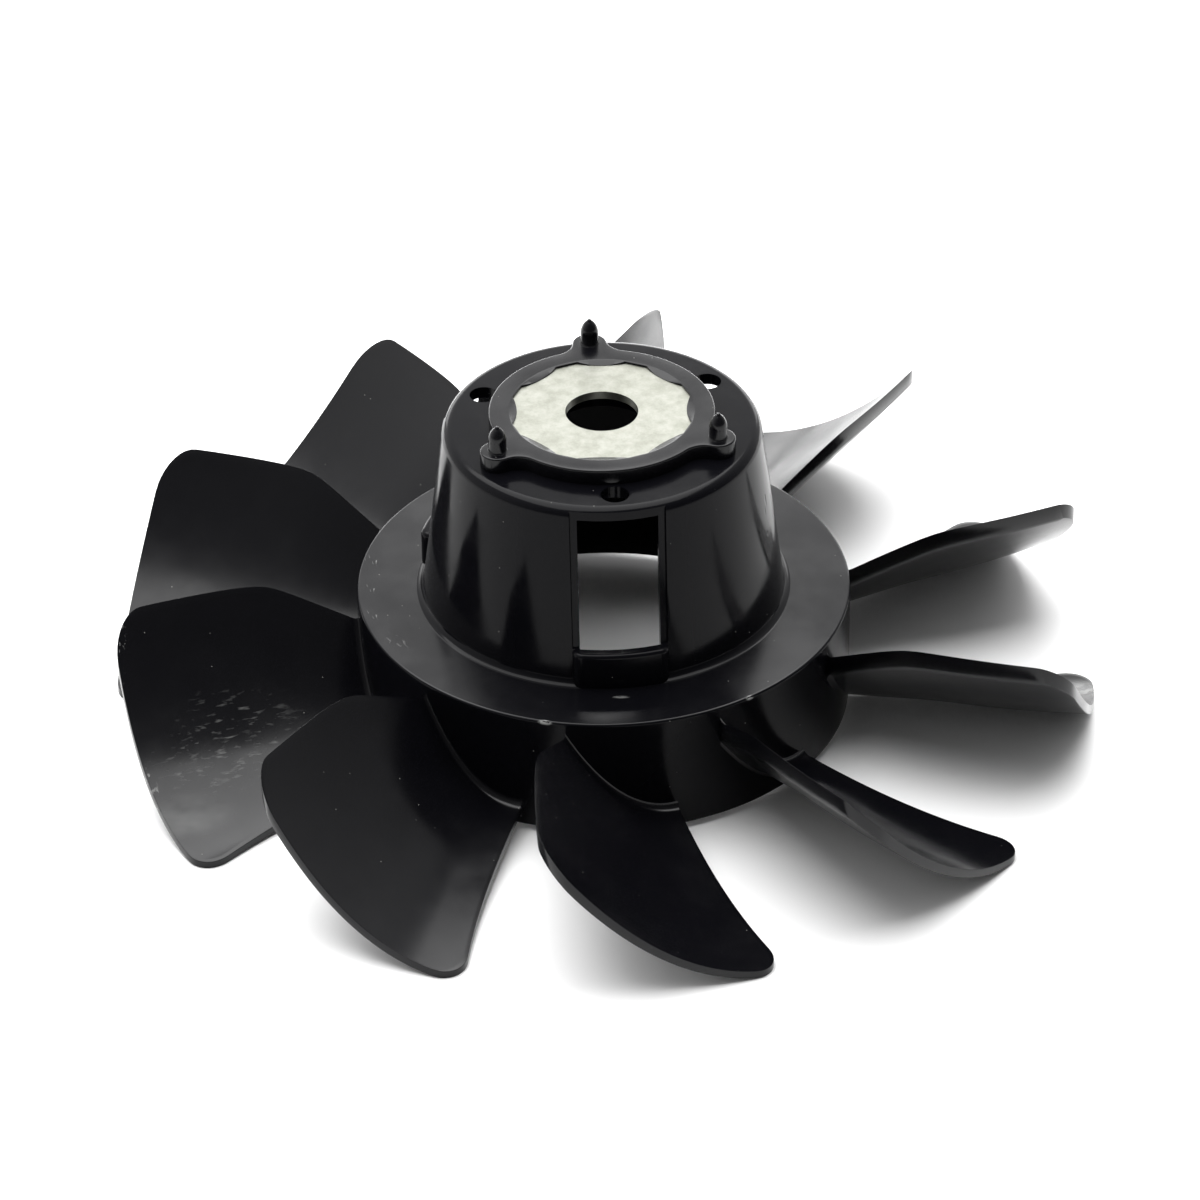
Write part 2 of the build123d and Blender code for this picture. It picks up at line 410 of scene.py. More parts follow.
MARKS = [
    # Scuff dashes across one blade's hollow, then a painted sheen at its low end: pale colour that
    # stands for a highlight
    Mark((-67.8, -21.1, 10.6), (16, 11, 2.6), (38, 4, 16), (3, 0.9, 2), 0.58, 0.22, 0.22),
    Mark((-72.3, -24.6, 8.8), (13, 9, 2.6), (34, 4, 16), (2.4, 0.8, 2), 0.6, 0.22, 0.18),
    # Painted sheen: a soft pale patch that stands for a highlight, not a scuff
    Mark((-76.8, -35.4, 4.5), (11, 6, 3), (19, 3, 16), (9, 5, 5), 0.3, 0.6, 0.14),
    # A blade tip whitened by knocks
    Mark((87, -12.9, 3.3), (5, 6, 2.4), (-14, 7, 18), (2.6, 1.6, 1.5), 0.36, 0.3, 0.4),
    # Short strokes on the flange face, most of them near its rim
    Mark((-41, 11.5, 24.2), (1.6, 4.5, 1), (0, 0, 0), (0.5, 2.2, 1), 0.62, 0.12, 0.3),
    Mark((-42, 2.5, 24.2), (1.4, 3.5, 1), (0, 0, 0), (0.5, 1.8, 1), 0.62, 0.12, 0.3),
    Mark((-42.2, -6, 24.2), (1.4, 3.5, 1), (0, 0, 10), (0.5, 2.0, 1), 0.62, 0.12, 0.28),
    Mark((-38.5, -15, 24.2), (2.2, 5.5, 1), (0, 0, 20), (0.9, 2.4, 1), 0.58, 0.2, 0.2),
    Mark((-0.5, -36.1, 24.2), (1.8, 0.5, 1), (0, 0, -6), (3, 0.6, 1), 0.35, 0.1, 0.2),
    # Pale dashes at two places on the flange's edge
    Mark((-14.4, -41.9, 24), (1.5, 0.6, 0.6), (0, 0, -18), (1.2, 0.6, 1), 0.42, 0.1, 0.5),
    Mark((21.9, -38.5, 24), (1, 0.6, 0.6), (0, 0, 26), (1.2, 0.6, 1), 0.42, 0.1, 0.5),
    # Nicks along two blade tips
    Mark((-87.6, -10, 24), (2, 9, 8), (0, 0, 0), (0.8, 1.4, 1.4), 0.6, 0.12, 0.4),
    Mark((-83.5, -30.5, 6.6), (1.6, 8, 6), (0, 0, 20), (0.8, 1.4, 1.4), 0.58, 0.12, 0.4),
    # Small dents in the cone
    Mark((27.9, -10, 46.4), (1.5, 0.5, 0.5), (0, 75, -20), (4, 4, 4), 0, 0.1, 1, MarkKind.DENTED),
    Mark((27.6, -10.9, 44.6), (1, 0.4, 0.4), (0, 75, -20), (4, 4, 4), 0, 0.1, 1, MarkKind.DENTED),
    Mark((28.2, -11.4, 40.2), (0.6, 0.4, 0.4), (0, 75, -20), (4, 4, 4), 0, 0.1, 0.8, MarkKind.DENTED),
]


class Finish:
    """Starts and ends the node tree that every finish has."""

    @staticmethod
    def start(name: str) -> tuple[Material, Adder]:
        """Makes an empty material.

        Args:
            name: Name of the material.

        Returns:
            The material, and the function that adds nodes to its tree.
        """
        material = bpy.data.materials.new(name)
        material.use_nodes = True
        material.node_tree.nodes.clear()
        return material, partial(add_node, material.node_tree)

    @staticmethod
    def end(add: Adder, settings: dict, links: dict) -> None:
        """Adds the surface shader and ties it to the output.

        Args:
            add: Adds a node to the material's tree.
            settings: Values on the shader's own sockets.
            links: Sockets that feed the shader.
        """
        shader = add("ShaderNodeBsdfPrincipled", settings, links)
        add("ShaderNodeOutputMaterial", links={"Surface": shader})


@dataclass(frozen=True)
class BlackNylon(Finish):
    """Black nylon 6, injection moulded in a polished tool.

    The eye sees a deep black with a soft satin sheen, a fine unevenness that breaks up the
    reflections, pale dust specks, and grey-white scuffs where the blades were knocked. The same
    pale colour is painted as a soft sheen on one blade's low end, where it stands for a highlight.
    Sizes and depths are in millimetres. The real grain is finer than grain_size and is drawn
    this coarse to show.
    """

    colour: str = "#08080b"
    # Pale colour of the scuffs, also painted as a sheen that stands for a highlight
    scuff_and_sheen_colour: str = "#b9bab8"
    dust_colour: str = "#a8a8a2"
    roughness: float = 0.2
    gloss_spread: Pair = (-0.05, 0.06)
    specular: float = 0.22
    ior: float = 1.53
    scuff_and_sheen_roughness: float = 0.62
    mottle_size: float = 9.0
    grain_size: float = 1.2
    dust_spacing: float = 3.4
    dust_radius: float = 0.13
    dust_core: float = 0.4
    dust_cover: float = 0.45
    grain_depth: float = 0.0008
    dent_depth: float = 0.12
    mark_core: float = 0.35

    def material(self, name: str, marks: list[Mark]) -> Material:
        """Builds the material.

        Args:
            name: Name of the material.
            marks: Marked places on the moulding, the painted sheen among them.

        Returns:
            The new material.
        """
        material, add = self.start(name)
        place = add("ShaderNodeTexCoord").outputs["Object"]
        mottle = add(
            "ShaderNodeTexNoise",
            {"Scale": 1 / (self.mottle_size * MM), "Detail": 3.0, "Roughness": 0.6},
            {"Vector": place},
        )
        low, high = (self.roughness + change for change in self.gloss_spread)
        gloss = add(
            "ShaderNodeMapRange",
            {"From Min": NOISE_LOW, "From Max": NOISE_HIGH, "To Min": low, "To Max": high},
            {"Value": mottle},
        )
        specks = add(
            "ShaderNodeTexVoronoi", {"Scale": 1 / (self.dust_spacing * MM)}, {"Vector": place}
        )
        rim = self.dust_radius / self.dust_spacing
        dust = add(
            "ShaderNodeMapRange",
            {"From Min": rim, "From Max": self.dust_core * rim, "To Max": self.dust_cover},
            {"Value": specks.outputs["Distance"]},
        )
        # Mask of the scuffs and of the painted sheen, which both take the pale colour
        scuff_and_sheen_mask = self.kind_mask(add, place, marks, MarkKind.SCUFFED_AND_SHEEN)
        dented = self.kind_mask(add, place, marks, MarkKind.DENTED)
        clean, dusted = linear_rgba(self.colour), linear_rgba(self.dust_colour)
        dusty = add("ShaderNodeMix", {"data_type": "RGBA", 6: clean, 7: dusted}, {0: dust})
        # Pale colour of the scuffs and of the painted sheen (a painted highlight)
        scuffed_and_sheen = add(
            "ShaderNodeMix",
            {"data_type": "RGBA", 7: linear_rgba(self.scuff_and_sheen_colour)},
            {0: scuff_and_sheen_mask, 6: dusty.outputs[2]},
        )
        rough = add(
            "ShaderNodeMix", {"data_type": "FLOAT", 3: self.scuff_and_sheen_roughness}, {0: scuff_and_sheen_mask, 2: gloss}
        )
        grain = add(
            "ShaderNodeTexNoise",
            {"Scale": 1 / (self.grain_size * MM), "Detail": 2.0},
            {"Vector": place},
        )
        sunk = add(
            "ShaderNodeMath",
            {"operation": "MULTIPLY_ADD", 1: -self.dent_depth / self.grain_depth},
            {0: dented, 2: grain},
        )
        bump = add("ShaderNodeBump", {"Distance": self.grain_depth * MM}, {"Height": sunk})
        self.end(
            add,
            {"IOR": self.ior, "Specular IOR Level": self.specular},
            {"Base Color": scuffed_and_sheen.outputs[2], "Roughness": rough, "Normal": bump},
        )
        return material

    def kind_mask(self, add: Adder, place: NodeSocket, marks: list[Mark], mark_kind: MarkKind) -> Node:
        """Builds the mask of one kind of mark: the scuffs with the painted sheen, or the dents.

        Args:
            add: Adds a node to the material's tree.
            place: Socket with the place on the object in metres.
            marks: Marked places of all kinds, at least one of each.
            mark_kind: The kind to gather.

        Returns:
            Node that rises from nothing to each mark's strength where that mark shows.
        """
        shown = [self.mark_mask(add, place, mark) for mark in marks if mark.mark_kind is mark_kind]
        total = shown[0]
        for mask in shown[1:]:
            total = add("ShaderNodeMath", {"operation": "MAXIMUM"}, {0: total, 1: mask})
        return total

    def mark_mask(self, add: Adder, place: NodeSocket, mark: Mark) -> Node:
        """Builds the mask of one marked place.

        Args:
            add: Adds a node to the material's tree.
            place: Socket with the place on the object in metres.
            mark: The marked place.

        Returns:
            Node with the mask.
        """
        local = add(
            "ShaderNodeMapping",
            {
                "vector_type": "TEXTURE",
                "Location": tuple(c * MM for c in mark.centre),
                "Rotation": tuple(radians(c) for c in mark.turn),
                "Scale": tuple(c * MM for c in mark.reach),
            },
            {"Vector": place},
        )
        distance = add("ShaderNodeVectorMath", {"operation": "LENGTH"}, {0: local})
        patch = add(
            "ShaderNodeMapRange",
            {"interpolation_type": "SMOOTHSTEP", "From Min": 1.0, "From Max": self.mark_core},
            {"Value": distance.outputs["Value"]},
        )
        dashes_across = tuple(reach / dash for reach, dash in zip(mark.reach, mark.dash))
        stretched = add(
            "ShaderNodeVectorMath", {"operation": "MULTIPLY", 1: dashes_across}, {0: local}
        )
        streaks = add(
            "ShaderNodeTexNoise",
            {"Scale": 1.0, "Detail": 2.0, "Roughness": 0.55},
            {"Vector": stretched},
        )
        broken = add(
            "ShaderNodeMapRange",
            {"From Min": mark.cut, "From Max": mark.cut + mark.edge, "To Max": mark.strength},
            {"Value": streaks},
        )
        return add("ShaderNodeMath", {"operation": "MULTIPLY"}, {0: patch, 1: broken})


@dataclass(frozen=True)
class InsertSteel(Finish):
    """Cold-rolled steel sheet with a dull zinc passivate, blanked and pierced.

    The eye sees a warm light grey without a mirror image, a faint cloudy mottle and fine specks.
    Sizes are in millimetres.
    """

    colour: str = "#8f9088"
    cloud_colour: str = "#7c7d74"
    roughness: float = 0.42
    gloss_spread: Pair = (-0.05, 0.08)
    cloud_size: float = 2.6
    cloud_range: Pair = (0.35, 0.65)
    fleck_size: float = 0.35
    fleck_depth: float = 0.02
    fleck_strength: float = 0.25

    def material(self, name: str) -> Material:
        """Builds the material.

        Args:
            name: Name of the material.

        Returns:
            The new material.
        """
        material, add = self.start(name)
        place = add("ShaderNodeTexCoord").outputs["Object"]
        cloud = add(
            "ShaderNodeTexNoise",
            {"Scale": 1 / (self.cloud_size * MM), "Detail": 4.0, "Roughness": 0.65},
            {"Vector": place},
        )
        fleck = add(
            "ShaderNodeTexNoise",
            {"Scale": 1 / (self.fleck_size * MM), "Detail": 2.0},
            {"Vector": place},
        )
        shade = add(
            "ShaderNodeMapRange",
            {"From Min": self.cloud_range[0], "From Max": self.cloud_range[1]},
            {"Value": cloud},
        )
        colour = add(
            "ShaderNodeMix",
            {"data_type": "RGBA", 6: linear_rgba(self.cloud_colour), 7: linear_rgba(self.colour)},
            {0: shade},
        )
        low, high = (self.roughness + change for change in self.gloss_spread)
        gloss = add(
            "ShaderNodeMapRange",
            {"From Min": NOISE_LOW, "From Max": NOISE_HIGH, "To Min": low, "To Max": high},
            {"Value": fleck},
        )
        bump = add(
            "ShaderNodeBump",
            {"Strength": self.fleck_strength, "Distance": self.fleck_depth * MM},
            {"Height": fleck},
        )
        self.end(
            add,
            {"Metallic": 1.0},
            {"Base Color": colour.outputs[2], "Roughness": gloss, "Normal": bump},
        )
        return material


@dataclass(frozen=True)
class StudioWhite(Finish):
    """Matt white studio sheet, rolled paper: an even white with no visible grain."""

    colour: str = "#f4f4f4"
    roughness: float = 0.9

    def material(self, name: str) -> Material:
        """Builds the material.

        Args:
            name: Name of the material.

        Returns:
            The new material.
        """
        material, add = self.start(name)
        self.end(add, {"Base Color": linear_rgba(self.colour), "Roughness": self.roughness}, {})
        return material


@dataclass
class BladeRing:
    """Ten scoop blades. Seen from above, each falls anticlockwise from its high leading edge.

    Angles count from the blade's datum line and heights from the flange face.
    """

    count: int = 10
    first_datum: float = 90.0
    drum_radius: float = 44.4
    seat_radius: float = 43.65
    tip_radius: float = 88.9
    leading_angles: Triple = (-14.4, -16.7, -12.4)
    trailing_angles: Pair = (11.3, 14.8)
    trailing_bow: float = 0.6
    knee_reach: float = 16.3
    knee_softness: float = 3.0
    tip_corner: float = 5.5
    leading_heights: Triple = (-3.1, 5.4, 5.8)
    trailing_heights: Pair = (-18.9, -22.9)
    trailing_droop: float = 0.8
    camber: Pair = (4.6, 7.3)
    thickness: Pair = (1.8, 1.4)
    root_fillet: float = 1.2
    edge_round: float = 0.3
    edge_rows: int = 3
    sharp_angle: float = 50.0
    root_rows: int = 5
    rows: int = 34
    corner_rows: int = 9
    columns: int = 40

    def span(self, distance: float, root: float, tip: float) -> float:
        """Straight-line value between the drum and the blade tip."""
        length = self.tip_radius - self.drum_radius
        return root + (tip - root) * (distance - self.drum_radius) / length

    def bow(self, distance: float, height: float) -> float:
        """Bow that is nothing at the drum and at the tip and full between them."""
        share = self.span(distance, 0, 1)
        return 4 * height * share * (1 - share)

    def knee(self, distance: float, values: Triple) -> float:
        """Value on the leading edge: two straight runs that meet in a soft bend.

        Args:
            distance: Distance from the axis.
            values: Values at the root, at the knee and at the tip.

        Returns:
            The value at that distance.
        """
        root, knee, tip = values
        knee_radius = self.drum_radius + self.knee_reach
        inner = (knee - root) / self.knee_reach
        outer = (tip - knee) / (self.tip_radius - knee_radius)
        past = distance - knee_radius
        bend = hypot(past, self.knee_softness)
        return knee + (inner + outer) / 2 * past + (outer - inner) / 2 * bend

    def edges(self, distance: float) -> Pair:
        """Places of the blade's two edges.

        Args:
            distance: Distance from the axis.

        Returns:
            Plan angles of the leading and the trailing edge in degrees.
        """
        straight = self.span(distance, *self.trailing_angles)
        trailing = straight - self.bow(distance, self.trailing_bow)
        return self.knee(distance, self.leading_angles), trailing

    def heights(self, distance: float, share: float) -> Pair:
        """Heights of the blade's two skins.

        Args:
            distance: Distance from the axis.
            share: Nothing at the leading edge and one at the trailing edge.

        Returns:
            Heights of the upper and the lower skin.
        """
        leading, trailing = self.edges(distance)
        high = self.knee(distance, self.leading_heights)
        low = self.span(distance, *self.trailing_heights) - self.bow(distance, self.trailing_droop)
        camber = self.span(distance, *self.camber)
        upper = high + (low - high) * share - 4 * camber * share * (1 - share)
        width = distance * radians(trailing - leading)
        slope = (low - high - 4 * camber * (1 - 2 * share)) / width
        thickness = self.thickness[0] + (self.thickness[1] - self.thickness[0]) * share
        flare = 0.0
        into = distance - self.drum_radius
        if into < self.root_fillet:
            depth = self.root_fillet - max(into, 0.0)
            flare = self.root_fillet - sqrt(self.root_fillet**2 - depth**2)
        return upper + flare, upper - thickness * hypot(1, slope) - flare

    def stations(self) -> list[float]:
        """Places of the rows of points, dense at the root and at the tip.

        Returns:
            The rows' distances from the axis.
        """
        insets = [inset for inset, _ in rounding(self.root_fillet, self.root_rows)]
        first = self.drum_radius + self.root_fillet
        last = self.tip_radius - self.tip_corner
        middle = [first + (last - first) * step / self.rows for step in range(1, self.rows)]
        corner = [
            last + self.tip_corner * sin(pi / 2 * step / self.corner_rows)
            for step in range(self.corner_rows + 1)
        ]
        root = [self.drum_radius + inset for inset in insets]
        return [self.seat_radius, *root, *middle, *corner]

    def build(self, ring: RingTree, flange_z: float, material: Material) -> Object:
        """Builds the ring of blades.

        Args:
            ring: Tree that repeats the blade.
            flange_z: Height of the flange face above the floor in millimetres.
            material: Finish of the blades.

        Returns:
            The ring as one plain mesh.
        """
        upper: list[Place] = []
        lower: list[Place] = []
        stations = self.stations()
        for distance in stations:
            leading, trailing = self.edges(distance)
            past = max(distance - (self.tip_radius - self.tip_corner), 0.0)
            inset = self.tip_corner - sqrt(max(self.tip_corner**2 - past**2, 0.0))
            margin = degrees(inset / distance) / (trailing - leading)
            for column in range(self.columns + 1):
                share = margin + (1 - 2 * margin) * column / self.columns
                top, bottom = self.heights(distance, share)
                plan = polar(distance, leading + (trailing - leading) * share)
                upper.append((*plan, flange_z + top))
                lower.append((*plan, flange_z + bottom))
        wide = self.columns + 1
        count = len(upper)
        faces = []
        for row in range(len(stations) - 1):
            for column in range(self.columns):
                at = row * wide + column
                faces.append([at, at + 1, at + wide + 1, at + wide])
                under = count + at
                faces.append([under, under + wide, under + wide + 1, under + 1])
        rim = list(range(wide))
        rim += [row * wide + wide - 1 for row in range(1, len(stations))]
        rim += [(len(stations) - 1) * wide + column for column in reversed(range(wide - 1))]
        rim += [row * wide for row in reversed(range(1, len(stations) - 1))]
        for at, here in enumerate(rim):
            ahead = rim[(at + 1) % len(rim)]
            faces.append([here, ahead, count + ahead, count + here])
        piece = Maker.new_object("blade_ring", upper + lower, faces)
        Maker.soften(piece, self.edge_round, self.edge_rows)
        Maker.shade(piece, self.sharp_angle)
        ring.repeat(piece, self.count, self.first_datum, material)
        return piece


@dataclass
class HubShell:
    """Drum, flange, cone and sills, cut by three windows with shallow recesses and three holes.

    The cutters pass what they cut by cut_over. They start cut_near outside the web's hole and end
    cut_far outside the drum.
    """

    drum_radius: float = 44.4
    drum_height: float = 23.0
    drum_wall: float = 1.5
    rim_round: float = 0.4
    inner_round: float = 1.0
    flange_thickness: float = 2.0
    flange_edge: float = 0.5
    foot_radius: float = 32.5
    top_radius: float = 28.2
    cone_height: float = 33.9
    cone_wall: float = 2.2
    foot_fillet: float = 1.6
    top_fillet: float = 2.0
    web_thickness: float = 2.2
    web_hole_radius: float = 9.0
    window_count: int = 3
    window_start: float = 30.0
    window_width: float = 14.2
    sill_height: float = 7.0
    sill_gap: float = 0.9
    sill_thickness: float = 2.0
    sill_side: float = 1.35
    sill_corner: float = 1.8
    sill_edge: float = 0.8
    sill_rows: int = 6
    sill_overlap: float = 0.2
    sill_corner_steps: int = 6
    sill_face_steps: int = 16
    sill_face_share: float = 0.98
    recess_depth: float = 0.4
    recess_top_margin: float = 0.6
    hole_radius: float = 2.5
    hole_circle: float = 46.3
    hole_steps: int = 48
    cut_over: float = 1.0
    cut_near: float = 4.0
    cut_far: float = 5.0
    cutter_steps: int = 24
    level_slack: float = 0.05
    around: int = 240

    def shell(self, flange_z: float) -> Object:
        """Turns the drum, flange, cone and web about the axis.

        Args:
            flange_z: Height of the flange face above the floor in millimetres.

        Returns:
            The shell without its windows and holes.
        """
        face = self.cone_height
        web = face - self.web_thickness
        outline = rounded_line(
            [
                (self.drum_radius, -self.drum_height, self.rim_round),
                (self.drum_radius, 0, self.flange_edge),
                (self.foot_radius, 0, self.foot_fillet),
                (self.top_radius, face, self.top_fillet),
                (self.web_hole_radius, face, 0),
                (self.web_hole_radius, web, 0),
                (self.top_radius - self.cone_wall, web, self.inner_round),
                (self.foot_radius - self.cone_wall, -self.flange_thickness, 0),
                (self.drum_radius - self.drum_wall, -self.flange_thickness, self.inner_round),
                (self.drum_radius - self.drum_wall, -self.drum_height, self.rim_round),
            ]
        )
        section = [(radius, flange_z + height) for radius, height in outline]
        return Maker.turned("hub_shell", lambda angle: section, self.around)

    def sill(self, flange_z: float) -> Object:
        """Builds one sill about the +X direction.

        Args:
            flange_z: Height of the flange face above the floor in millimetres.

        Returns:
            The sill as a closed block.
        """
        inner = self.foot_radius - self.cone_wall - self.sill_overlap
        outer = self.foot_radius - self.sill_gap + self.sill_thickness
        half = self.window_width / 2 + self.sill_side
        foot = flange_z - self.flange_thickness / 2
        layers = [(foot, self.sill_outline(inner, outer, half, 0.0))]
        for inset, drop in rounding(self.sill_edge, self.sill_rows):
            height = flange_z + self.sill_height - drop
            layers.append((height, self.sill_outline(inner, outer, half, inset)))
        return Maker.stacked("sill", layers)

    def sill_outline(self, inner: float, outer: float, half: float, inset: float) -> list[Point]:
        """Plan outline of a sill.

        Args:
            inner: Radius of the hidden inner side.
            outer: Radius of the outer face.
            half: Half the sill's width.
            inset: How far the outline is drawn in from the sides and the outer face.

        Returns:
            The outline's points.
        """
        round_out = self.sill_corner
        reach = outer - inset
        side = half - inset
        centre_y = side - round_out
        centre_x = sqrt((reach - round_out) ** 2 - centre_y**2)
        lean = degrees(atan2(centre_y, centre_x))
        face = lean * self.sill_face_share
        return [
            (inner, -side),
            *arc((centre_x, -centre_y), round_out, -90, -lean, self.sill_corner_steps),
            *arc((0, 0), reach, -face, face, self.sill_face_steps),
            *arc((centre_x, centre_y), round_out, lean, 90, self.sill_corner_steps),
            (inner, side),
        ]

    def wedge(self, name: str, half: float, lower: list[Point], upper: list[Point]) -> Object:
        """Builds a straight-sided cutter about the +X direction.

        Args:
            name: Name of the cutter.
            half: Half its width.
            lower: Radius and height of the inner side's points, from the bottom up.
            upper: Radius and height of the outer side's points, from the top down.

        Returns:
            The cutter, whose faces of equal radius are curved about the axis.
        """
        steps = self.cutter_steps
        rings: list[list[Place]] = []
        for y in [half * (2 * step / steps - 1) for step in range(steps + 1)]:
            reach = [sqrt(radius**2 - y**2) for radius, _ in lower + upper]
            rings.append([(x, y, height) for x, (_, height) in zip(reach, lower + upper)])
        return Maker.lofted(name, rings, False)

    def build(
        self, ring: RingTree, flange_z: float, material: Material, polished: Material
    ) -> Object:
        """Builds the hub shell with its windows and holes.

        Args:
            ring: Tree that repeats the cutters and the sills.
            flange_z: Height of the flange face above the floor in millimetres.
            material: Finish of the flange face.
            polished: Finish of the cone, the sills and the drum.

        Returns:
            The shell as one plain mesh.
        """
        shell = self.shell(flange_z)
        face_z = flange_z + self.cone_height
        web_z = face_z - self.web_thickness
        sill_z = flange_z + self.sill_height
        taper = (self.foot_radius - self.top_radius) / self.cone_height
        recess_top = face_z - self.recess_top_margin
        near = self.web_hole_radius + self.cut_near
        far = self.drum_radius + self.cut_far
        sill_inner = self.foot_radius - self.sill_gap
        under = flange_z - self.drum_height - self.cut_over
        recess = self.wedge(
            "recess",
            self.window_width / 2 + self.sill_side,
            [
                (self.foot_radius - self.recess_depth - taper * self.sill_height, sill_z),
                (self.top_radius - self.recess_depth + taper * self.recess_top_margin, recess_top),
            ],
            [(far, recess_top), (far, sill_z)],
        )
        core = self.wedge(
            "window_core",
            self.window_width / 2,
            [(near, under), (near, web_z)],
            [(far, web_z), (far, sill_z), (sill_inner, sill_z), (sill_inner, under)],
        )
        round_hole = circle((self.hole_circle / 2, 0), self.hole_radius, self.hole_steps)
        levels = (web_z - self.cut_over, face_z + self.cut_over)
        hole = Maker.stacked("face_hole", [(level, round_hole) for level in levels])
        cuts = [(self.sill(flange_z), "UNION")]
        cuts += [(cutter, "DIFFERENCE") for cutter in (recess, core, hole)]
        for cutter, operation in cuts:
            ring.repeat(cutter, self.window_count, self.window_start, material)
            join = shell.modifiers.new(cutter.name, "BOOLEAN")
            join.operation = operation
            join.solver = "EXACT"
            join.object = cutter
        Maker.bake(shell)
        for cutter, _ in cuts:
            bpy.data.objects.remove(cutter)
        shell.data.materials.clear()
        shell.data.materials.append(material)
        shell.data.materials.append(polished)
        flange_from = self.foot_radius + self.foot_fillet / 2
        for face in shell.data.polygons:
            out = hypot(face.center.x, face.center.y) / MM
            level = abs(face.center.z / MM - flange_z) < self.level_slack
            face.material_index = 0 if level and out > flange_from else 1
        Maker.shade(shell)
        return shell


@dataclass
class Collar:
    """Raised collar with three ears, whose lobed lip laps over the edge of the steel insert.

    A pair in the lip's roundings is a step outwards and a step down.
    """

    face_level: float = 33.9
    radius: float = 20.0
    height: float = 2.9
    edge_round: float = 0.35
    ear_count: int = 3
    ear_start: float = 90.0
    ear_circle: float = 22.4
    ear_radius: float = 3.1
    ear_blend: float = 4.0
    insert_radius: float = 18.0
    insert_thickness: float = 1.5
    clearance_radius: float = 9.0
    lobe_count: int = 8
    lobe_start: float = -5.3
    lobe_half: float = 15.5
    corner_radius: float = 16.35
    crown_radius: float = 15.0
    lip_depth: float = 0.45
    lip_feather: float = 0.1
    lip_round: tuple[Pair, ...] = ((0.25, 0.0), (0.07, 0.02), (0.0, 0.06))
    feather_round: Pair = (0.05, 0.04)
    edge_rows: int = 5
    sharp_angle: float = 28.0
    sunk: float = 0.5
    around: int = 720

    def outer(self, angle: float, inset: float) -> float:
        """Radius of the eared outline.

        Args:
            angle: Plan angle in degrees.
            inset: How far the outline is drawn in.

        Returns:
            The distance from the axis.
        """
        collar = self.radius - inset
        ear = self.ear_radius - inset
        blend = self.ear_blend + inset
        pitch = 360 / self.ear_count
        off = abs((angle - self.ear_start + pitch / 2) % pitch - pitch / 2)
        reach = collar + blend
        between = ear + blend
        centre_x = (reach**2 - between**2 + self.ear_circle**2) / (2 * self.ear_circle)
        centre_y = sqrt(reach**2 - centre_x**2)
        if off >= degrees(atan2(centre_y, centre_x)):
            return collar
        touch = (
            self.ear_circle + (centre_x - self.ear_circle) * ear / between,
            centre_y * ear / between,
        )
        cosine, sine = cos(radians(off)), sin(radians(off))
        if off > degrees(atan2(touch[1], touch[0])):
            along = centre_x * cosine + centre_y * sine
            return along - sqrt(max(along**2 - reach**2 + blend**2, 0.0))
        along = self.ear_circle * cosine
        return along + sqrt(max(along**2 - self.ear_circle**2 + ear**2, 0.0))

    def lobe(self, angle: float) -> float:
        """Radius of the lip's inner edge.

        Args:
            angle: Plan angle in degrees.

        Returns:
            The distance from the axis.
        """
        pitch = 360 / self.lobe_count
        off = (angle - self.lobe_start + pitch / 2) % pitch - pitch / 2
        if abs(off) > self.lobe_half:
            middle = pitch / 2 - self.lobe_half
            away = pitch / 2 - abs(off)
            return self.corner_radius * cos(radians(middle)) / cos(radians(away))
        corner = polar(self.corner_radius, self.lobe_half)
        drop = corner[0] - self.crown_radius
        curve = (drop**2 + corner[1] ** 2) / (2 * drop)
        centre = self.crown_radius + curve
        along = centre * cos(radians(off))
        return along - sqrt(max(along**2 - centre**2 + curve**2, 0.0))

    def section(self, angle: float, insert_z: float) -> list[Point]:
        """Closed section of the collar.

        Args:
            angle: Plan angle in degrees.
            insert_z: Height of the insert's underside above the floor in millimetres.

        Returns:
            The section's (radius, height) points.
        """
        metal = insert_z + self.insert_thickness
        top = metal + self.lip_depth
        foot = top - self.height - self.sunk
        points = [(self.outer(angle, 0.0), foot)]
        for inset, drop in rounding(self.edge_round, self.edge_rows):
            points.append((self.outer(angle, inset), top - drop))
        points += [(self.corner_radius + out, top - drop) for out, drop in self.lip_round]
        lobe = self.lobe(angle)
        lean = (self.lip_depth - self.lip_feather) / (self.corner_radius - self.crown_radius)
        lip_z = metal + self.lip_feather + lean * (lobe - self.crown_radius)
        lip_z = min(lip_z, top - self.lip_round[-1][1])
        points += [
            (lobe + self.feather_round[0], lip_z),
            (lobe, lip_z - self.feather_round[1]),
            (lobe, metal),
            (self.insert_radius, metal),
            (self.insert_radius, insert_z),
            (self.clearance_radius, insert_z),
            (self.clearance_radius, foot),
        ]
        return points

    def build(self, insert_z: float, material: Material) -> Object:
        """Builds the collar.

        Args:
            insert_z: Height of the insert's underside above the floor in millimetres.
            material: Finish of the collar.

        Returns:
            The collar as one plain mesh.
        """
        piece = Maker.turned(
            "hub_collar", lambda angle: self.section(angle, insert_z), self.around
        )
        piece.data.materials.append(material)
        Maker.shade(piece, self.sharp_angle)
        return piece


